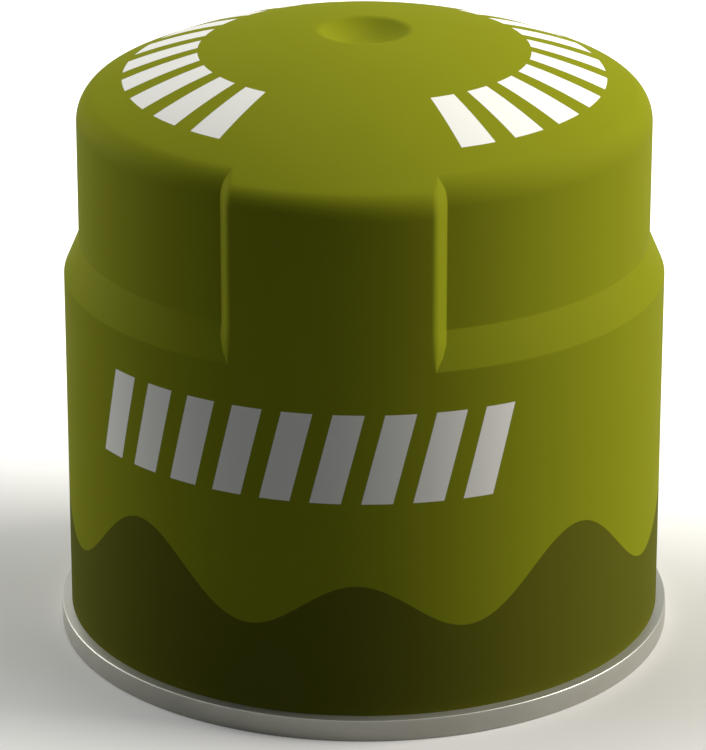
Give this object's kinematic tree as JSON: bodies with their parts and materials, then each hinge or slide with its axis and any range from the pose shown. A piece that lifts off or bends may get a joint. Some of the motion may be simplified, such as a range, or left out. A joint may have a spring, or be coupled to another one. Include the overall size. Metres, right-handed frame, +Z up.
{
  "type": "pierceable fuel canister",
  "caption": "Squat sealed steel gas canister with a necked shoulder, a broad flush panel, a domed crown with a central piercing dimple and a seamed foot.",
  "frame": {"origin": "middle of the ring that the can stands on, in the plane of that ring", "axes": "+Z up along the can's axis, -Y out of the middle of the flush panel, +X to the right as the panel is faced"},
  "size_m": [0.09, 0.09, 0.0904],
  "materials": {
    "painted_body": "satin olive green enamel on drawn steel, slightly uneven like orange peel, with a darker green hill band and plain white bars round the wall",
    "bare_tinplate": "bare tinplate of the seamed base end, with fine scratches that run round it"
  },
  "bodies": {
    "root": {"canister": "painted_body"}
  },
  "joints": []
}
